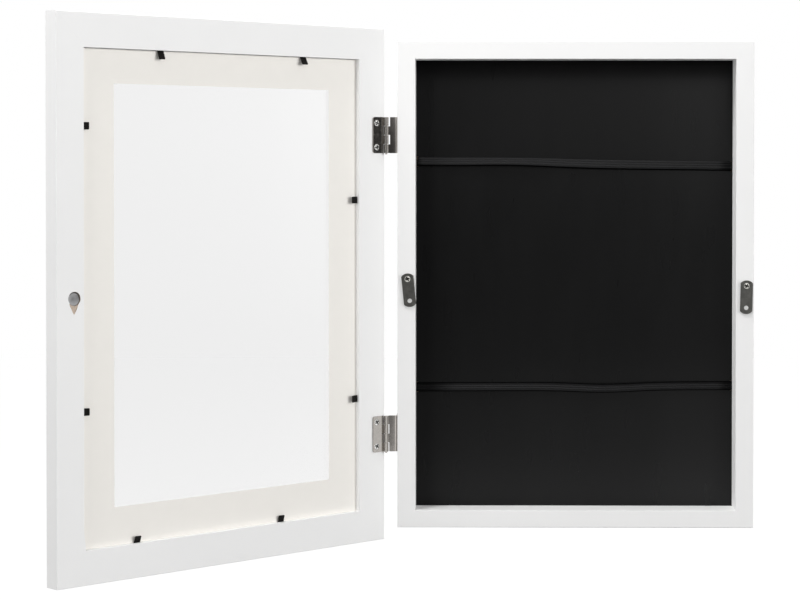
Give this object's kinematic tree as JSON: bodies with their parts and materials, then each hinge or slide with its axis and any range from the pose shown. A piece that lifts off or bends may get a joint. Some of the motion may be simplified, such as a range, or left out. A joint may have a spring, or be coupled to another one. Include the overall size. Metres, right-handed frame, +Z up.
{
  "type": "front-opening picture frame",
  "caption": "White hinged picture storage frame: shallow wall box with black panel and elastic bands, and a swing-open door with mat, clear pane and magnet catch.",
  "frame": {"origin": "middle of the back, in the plane that lies against the wall", "axes": "+X right, +Y into the wall, +Z up"},
  "size_m": [0.438, 0.1949, 0.3402],
  "materials": {
    "white_paint": "satin white paint on fibreboard",
    "plain_steel": "plain steel",
    "zinc_steel": "bright zinc plate",
    "black_board": "matt black facing",
    "fibreboard": "smooth brown fibreboard",
    "black_elastic": "ribbed black elastic",
    "dark_steel": "dark nickel plate",
    "hinge_steel": "nickel plate",
    "screw_steel": "nickel plate",
    "clear_sheet": "clear",
    "cream_mat": "matt cream card",
    "black_steel": "black oxide",
    "magnet": "dull nickel plate"
  },
  "bodies": {
    "box": {"box_top_rail": "white_paint", "box_bottom_rail": "white_paint", "box_left_stile": "white_paint", "box_right_stile": "white_paint", "box_corner_nails": "plain_steel", "black_panel": "black_board", "back_board": "fibreboard", "back_board_brads": "zinc_steel", "upper_elastic_band": "black_elastic", "lower_elastic_band": "black_elastic", "band_staples": "plain_steel", "portrait_hanger": "zinc_steel", "landscape_hanger": "zinc_steel", "hanger_nails": "zinc_steel", "upper_hinge_box_leaf": "hinge_steel", "lower_hinge_box_leaf": "hinge_steel", "upper_hinge_pin": "hinge_steel", "lower_hinge_pin": "hinge_steel", "box_hinge_screws": "screw_steel", "left_plate_screw": "screw_steel", "right_plate_screw": "screw_steel"},
    "left_plate": {"left_keeper_plate": "dark_steel"},
    "right_plate": {"right_keeper_plate": "dark_steel"},
    "door": {"door_top_rail": "white_paint", "door_bottom_rail": "white_paint", "door_hinge_stile": "white_paint", "door_free_stile": "white_paint", "door_corner_nails": "plain_steel", "clear_pane": "clear_sheet", "mat": "cream_mat", "top_outer_point": "black_steel", "top_inner_point": "black_steel", "bottom_outer_point": "black_steel", "bottom_inner_point": "black_steel", "free_upper_point": "black_steel", "free_lower_point": "black_steel", "hinge_upper_point": "black_steel", "hinge_lower_point": "black_steel", "closing_magnet": "magnet", "upper_hinge_door_leaf": "hinge_steel", "lower_hinge_door_leaf": "hinge_steel", "door_hinge_screws": "screw_steel"}
  },
  "joints": [
    {"name": "door_hinge", "type": "hinge", "parent": "box", "child": "door", "pos_m": [-0.1259, -0.0245, 0], "axis": [0, 0, 1], "range_deg": [-43, 137]},
    {"name": "left_plate_swivel", "type": "hinge", "parent": "box", "child": "left_plate", "pos_m": [-0.1117, -0.025, 0.0038], "axis": [0, 1, 0], "range_deg": [-14, 26]},
    {"name": "right_plate_swivel", "type": "hinge", "parent": "box", "child": "right_plate", "pos_m": [0.1137, -0.025, -0.0006], "axis": [0, 1, 0], "range_deg": [-21, 19]}
  ]
}
